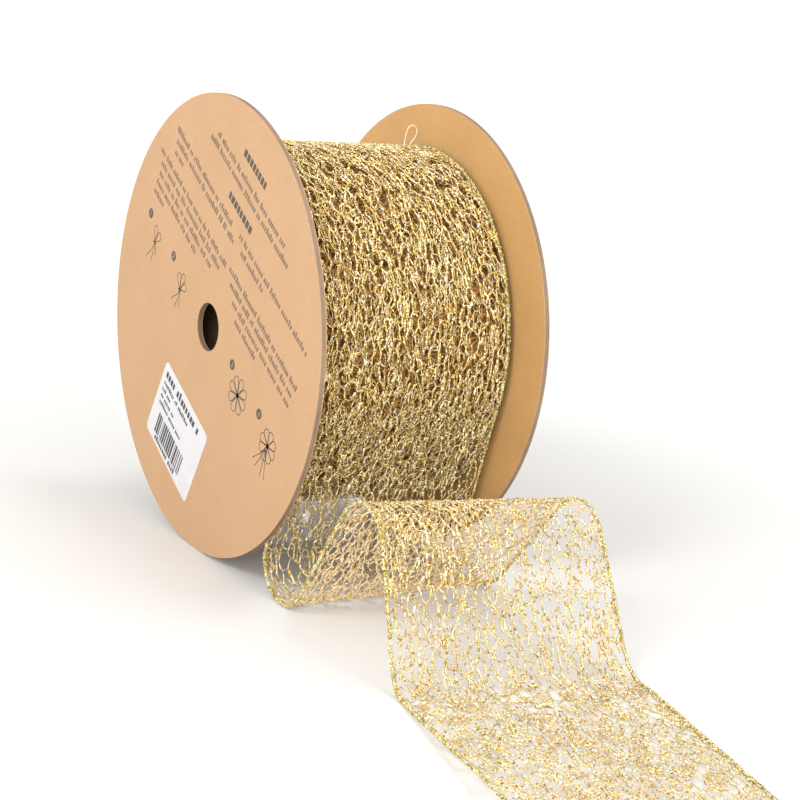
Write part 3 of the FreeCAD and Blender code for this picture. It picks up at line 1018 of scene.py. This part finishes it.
def build_label_printing():
    """Blank lines and a row of plain stripes; the label says nothing."""
    rng = np.random.default_rng(9)
    ink = Ink(LABEL_MIDDLE, LABEL_TILT, LABEL_FACE_Y)
    greek_line(ink, rng, -17.0, 15.0, 10.0, 2.3, 2.1)
    lines = [(7.0, -16.8, 7.4), (4.3, -16.9, -9.0), (1.8, -16.5, -3.0), (-0.8, -16.1, 4.2)]
    for base, left, right in lines:
        greek_line(ink, rng, left, right, base, 1.1, 1.15)
    at = -13.6
    while at < 9.8:
        width = rng.choice([0.35, 0.6, 0.9, 1.2])
        ink.block(at, -11.6, width, 8.2)
        at += width + rng.choice([0.4, 0.6, 0.9])
    greek_line(ink, rng, -12.0, 9.5, -13.8, 1.4, 1.5)
    label_ink = ink_material("label_ink", (0.03, 0.03, 0.035), (0.09, 0.09, 0.10))
    ink.make("label_print", label_ink, "label_paper")


def ink_material(name, dark, light):
    """Thin ink with the paper's tooth showing through it."""
    return mottled(name, (1800.0, 3.0, 0.6), dark, light, (0.5, 0.8), span=(0.35, 0.7),
                   inputs={"Specular IOR Level": 0.3})


# ---------- build

def build_ribbon(gold, cord, peach):
    outer = LAP_LENGTH - TURN_LENGTH
    # The second and third turns get darkened copies of the gold foil, painted shade for turns that lie
    # under the outer one; the darkest copy also takes the place of the peach underside on both deeper
    # turns.
    second = gold_glitter("gold_glitter_shaded_second", (0.94, 0.81, 0.60))
    third = gold_glitter("gold_glitter_shaded_third", (0.60, 0.44, 0.24))
    looks = [[gold, peach], [second, third], [third, third]]
    rng = np.random.default_rng(7)
    start, end, kinds = lace_edges(rng, outer - CELL[0], ROUTE_END)
    for turn in range(LOOSE_TURNS):
        first, last, shift = outer, 0.0, (0, 0)
        if turn > 0:
            first, last = outer - turn * TURN_LENGTH, outer - (turn - 1) * TURN_LENGTH
            shift = nested_shift(rng, start, end, turn * TURN_LENGTH)
        piece = ribbon_lace("wound_turn_%d" % (turn + 1), first, last, start + shift[0], end + shift[1],
                            kinds, looks[turn], 20 + turn)
        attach(piece, "spool")
    tail = ribbon_lace("paid_out_lace", 0.0, ROUTE_END + 10, start, end, kinds, [gold, peach], 31)
    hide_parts("tail_web", "end_web")
    across_crease(tail)
    for name, side in (("front", -1), ("rear", 1)):
        piece = edge_cord("wound_%s_cord" % name, side, ROUTE_START, 0.0, [cord, cord], 40 + side)
        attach(piece, "spool")
        piece = edge_cord("paid_out_%s_cord" % name, side, 0.0, ROUTE_END, [cord, cord], 50 + side)
        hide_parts("tail_%s_binding" % name, "end_%s_binding" % name)
        across_crease(piece)


def across_crease(piece):
    """Works out the two ends of the crease line, which nothing then uses, and bakes the piece's placement
    into its mesh.
    """
    reach = 7.0
    middle, along, _, _ = frames_at(np.array([CREASE]))
    ends = [(middle[0] + along[0] * share * reach) * MM for share in (-1, 1)]
    tuple(ends[0])
    tuple(ends[1])
    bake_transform(piece)


def build_wound_pack():
    """The solid pack of deeper turns, a little uneven, under the loose ones."""
    radius = LAP_RADIUS - LOOSE_TURNS * TURN_PITCH - 0.3
    rng = np.random.default_rng(3)
    round_steps, long_steps = 360, 60
    half = CORD_AT - 0.2
    bore = CORE_RADIUS + 0.3
    unevenness = 0.12
    points, faces = [], []
    rows = [(-half, bore)]
    rows += [(-half + 2 * half * index / long_steps, radius) for index in range(long_steps + 1)]
    rows += [(half, bore)]
    for y, reach in rows:
        for step in range(round_steps):
            angle = step * TURN / round_steps
            r = reach + rng.normal(0, unevenness)
            points.append(Vector((r * cos(angle), y, r * sin(angle))) * MM)
    for row in range(len(rows)):
        below, above = row * round_steps, (row + 1) % len(rows) * round_steps
        for step in range(round_steps):
            after = (step + 1) % round_steps
            faces.append((below + step, above + step, above + after, below + after))
    piece = solid_piece("wound_pack", points, faces, pack_material())
    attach(piece, "spool")
    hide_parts("wound_web", "wound_front_binding", "wound_rear_binding")


def label_paper():
    """Cool white label stock with a faint mottle."""
    material, tree, shader = new_material("label_paper")
    mottle = noise(tree, 260.0, 4.0, 0.6)
    tooth = noise(tree, 2600.0, 3.0, 0.6)
    colour = ramp(tree, mottle, [(0.3, (0.50, 0.495, 0.51)), (0.7, (0.54, 0.535, 0.55))])
    dress(tree, shader, {
        "Base Color": colour,
        "Roughness": to_range(tree, tooth, 0.38, 0.55),
        "Normal": bump(tree, tooth, 0.15, 0.00004)})
    return material


def paper_tape():
    """Creped masking tape."""
    return mottled("paper_tape", (500.0, 3.0, 0.6), (0.62, 0.52, 0.33), (0.74, 0.64, 0.44),
                   (0.55, 0.75), (0.5, 0.00015), stretch=(1.0, 0.2, 1.0))


def hot_melt():
    """Milky glue with soft runs."""
    return mottled("hot_melt", (220.0, 3.0), (0.66, 0.58, 0.40), (0.82, 0.75, 0.58),
                   (0.25, 0.45), (0.4, 0.0004), inputs={"Subsurface Weight": 0.15})


def edge_wire():
    """Thin drawn wire, brushed along its length."""
    return mottled("edge_wire", (2400.0, 3.0, 0.6), (0.42, 0.36, 0.26), (0.66, 0.60, 0.48),
                   (0.3, 0.5), stretch=(0.3, 1.0, 1.0), inputs={"Metallic": 0.9})


def clear_film():
    """Almost clear tape with milky white streaks along a crease pattern; the streaks are partly the
    whitening of creased film and partly painted highlights.
    """
    material, tree, shader = new_material("clear_film")
    crease = noise(tree, 330.0, 4.0, 0.65, stretched(tree, 1.0, 1.6, 0.5))
    dress(tree, shader, {
        "Base Color": (0.95, 0.95, 0.96, 1),
        "Roughness": to_range(tree, crease, 0.05, 0.2),
        "Alpha": to_range(tree, crease, 0.05, 0.8, 0.56, 0.72),
        "Normal": bump(tree, crease, 0.6, 0.0005)})
    return material


FILM_FROM, FILM_TO = -37.4, -1.4  # the film's ends across the ribbon
FILM_TOP = 29.6  # distance along the ribbon's line below the lap
FILM_LENGTH = 17.0
FILM_THICKNESS = 0.06
FILM_LOOSE = 14.0  # width of the end that stands off the ribbon
FILM_CORNER = 8.0  # how much of that end's top corner is missing
FILM_GAP, FILM_FOLD, FILM_LOOSE_FOLD = 0.15, 0.12, 2.2


def build_clear_tape():
    """The strip of clear tape behind the ribbon, rumpled at its loose end."""
    rng = np.random.default_rng(12)
    across_steps, down_steps = 90, 40
    y = np.linspace(FILM_FROM, FILM_TO, across_steps + 1)[:, None]
    share = np.linspace(0, 1, down_steps + 1)[None, :]
    loose = np.clip((y - FILM_TO + FILM_LOOSE) / FILM_LOOSE, 0, 1) ** 2
    top = FILM_CORNER * loose ** 1.5
    down = FILM_TOP + top + (FILM_LENGTH - top) * share
    folds, waves = 0.0, 6
    for _ in range(waves):
        phase = y * rng.uniform(0.5, 1.4) + down * rng.uniform(-0.5, 0.5) + rng.uniform(0, 6)
        folds = folds + np.abs(np.sin(phase))
    behind = FILM_GAP + folds / waves * (FILM_FOLD + FILM_LOOSE_FOLD * loose)
    behind = behind + 0.05 * rng.random(down.shape)
    lap_foot = (LAP_RADIUS * cos(LEAVE), -LAP_RADIUS * sin(LEAVE))
    set_in = CORD_DIAMETER / 2 + behind
    x = lap_foot[0] - sin(LEAVE) * down - cos(LEAVE) * set_in
    z = lap_foot[1] - cos(LEAVE) * down + sin(LEAVE) * set_in
    sheets = []
    for depth in (0.0, FILM_THICKNESS):
        sheets.append(np.stack([x - depth, np.broadcast_to(y, x.shape), z], axis=-1).reshape(-1, 3))
    points = np.concatenate(sheets)
    count, row = len(sheets[0]), down_steps + 1
    faces = []
    for i in range(across_steps):
        for j in range(down_steps):
            near = i * row + j
            corners = (near, near + 1, near + row + 1, near + row)
            faces.append(corners)
            faces.append(tuple(corner + count for corner in reversed(corners)))
    rim = list(range(row)) + [i * row + row - 1 for i in range(1, across_steps + 1)]
    rim += [across_steps * row + j for j in range(row - 2, -1, -1)]
    rim += [i * row for i in range(across_steps - 1, 0, -1)]
    for near, after in zip(rim, rim[1:] + rim[:1]):
        faces.append((after, near, near + count, after + count))
    points = [Vector(point) * MM for point in points]
    piece = solid_piece("clear_tape_film", points, faces, clear_film())
    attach(piece, "ribbon_tail")
    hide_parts("clear_tape")


def build_loose_filament():
    """A hair of clear monofilament that stands in a loop out of the roll."""
    path = [(-6.3, 31.4, 60.0), (-6.3, 31.5, 62.5), (-6.2, 31.9, 65.6), (-6.1, 33.2, 67.4),
            (-6.1, 35.0, 67.2), (-6.1, 36.1, 65.4), (-6.2, 35.6, 63.4), (-6.2, 34.2, 61.8),
            (-6.3, 33.4, 60.2)]
    curve = bpy.data.curves.new("loose_filament", "CURVE")
    curve.dimensions = "3D"
    curve.bevel_depth = 0.13 * MM
    curve.bevel_resolution = 1
    curve.use_fill_caps = True
    spline = curve.splines.new("NURBS")
    spline.points.add(len(path) - 1)
    for point, place in zip(spline.points, path):
        point.co = (*(Vector(place) * MM), 1)
    spline.order_u = 3
    spline.use_endpoint_u = True
    curve.materials.append(mottled("filament", (900.0, 2.0), (0.82, 0.76, 0.68), (0.95, 0.92, 0.88),
                                   (0.15, 0.35)))
    piece = link_piece("loose_filament", curve)
    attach(piece, "spool")


def dress_nodes(gold, cord):
    """Gives each CAD piece its finished material."""
    printed = kraft_material("kraft_printed", *KRAFT_PRINTED)
    inside = kraft_material("kraft_inside", (0.50, 0.297, 0.12), (0.456, 0.267, 0.104))
    rim = kraft_material("greyboard", (0.27, 0.19, 0.14), (0.17, 0.115, 0.085))
    core = kraft_material("core_paper", (0.28, 0.19, 0.13), (0.20, 0.14, 0.085))
    finishes = {"front_outer_liner": printed, "rear_outer_liner": printed,
                "front_inner_liner": inside, "rear_inner_liner": inside,
                "front_flange_board": rim, "rear_flange_board": rim, "core_tube": core,
                "label_sticker": label_paper(), "start_tape": paper_tape()}
    by_ending = {"_glue_bead": hot_melt(), "_wire": edge_wire(), "_web": gold, "_binding": cord,
                 "clear_tape": clear_film()}
    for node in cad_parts:
        for ending, finish in by_ending.items():
            if node.endswith(ending):
                finishes[node] = finish
        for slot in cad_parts[node].material_slots:
            slot.material = finishes[node]


add_camera()
add_lights()
add_backdrop()
gold_foil, cord_foil = gold_glitter(), cord_glitter()
build_ribbon(gold_foil, cord_foil, peach_thread())
build_wound_pack()
build_clear_tape()
build_loose_filament()
build_printing()
build_label_printing()
dress_nodes(gold_foil, cord_foil)


def write_sizes():
    boxes = {"cad": cad_box, "visual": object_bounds()}
    plain = {name: [[float(value) for value in corner] for corner in box] for name, box in boxes.items()}


write_sizes()
